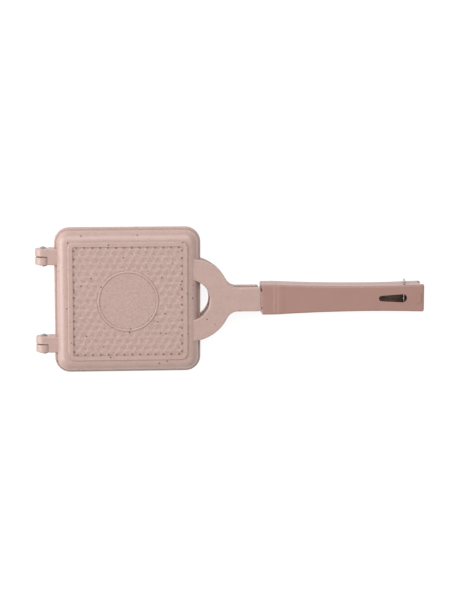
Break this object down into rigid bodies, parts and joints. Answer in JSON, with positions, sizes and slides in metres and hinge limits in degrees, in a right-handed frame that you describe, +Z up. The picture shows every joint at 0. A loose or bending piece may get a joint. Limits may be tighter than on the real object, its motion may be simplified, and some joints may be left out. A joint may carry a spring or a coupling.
{
  "type": "pie iron",
  "caption": "Square hinged pie iron: cast halves on pinned hinges, slotted moulded grips and a bent-wire latch clip for toasting a filled sandwich over a hob.",
  "frame": {"origin": "middle of the flat foot band under the lower half, in the plane on which the closed iron stands", "axes": "+X from the hinges to the grips, +Y to the back hinge, +Z up from the lower half to the upper half"},
  "size_m": [0.3885, 0.145, 0.032],
  "materials": {
    "pan_coating": "satin speckled non-stick coating on cast aluminium",
    "grip_plastic": "satin moulded phenolic plastic",
    "pin_steel": "bright riveted steel",
    "screw_steel": "plated steel",
    "spring_wire": "polished spring wire"
  },
  "bodies": {
    "lower_half": {"lower_pan": "pan_coating", "lower_grip": "grip_plastic", "lower_grip_screw": "screw_steel", "lower_screw_washer": "screw_steel", "hinge_pin_back": "pin_steel", "hinge_pin_front": "pin_steel", "hinge_washer_back": "pin_steel", "hinge_washer_front": "pin_steel"},
    "upper_half": {"upper_pan": "pan_coating", "upper_grip": "grip_plastic", "upper_grip_screw": "screw_steel", "upper_screw_washer": "screw_steel"},
    "latch": {"latch_clip": "spring_wire"}
  },
  "joints": [
    {"name": "lid_hinge", "type": "hinge", "parent": "lower_half", "child": "upper_half", "pos_m": [-0.0832, 0, 0.016], "axis": [0, -1, 0], "range_deg": [0, 180]},
    {"name": "latch_pivot", "type": "hinge", "parent": "upper_half", "child": "latch", "pos_m": [0.2773, 0, 0.025], "axis": [0, 1, 0], "range_deg": [-80, 100]}
  ]
}
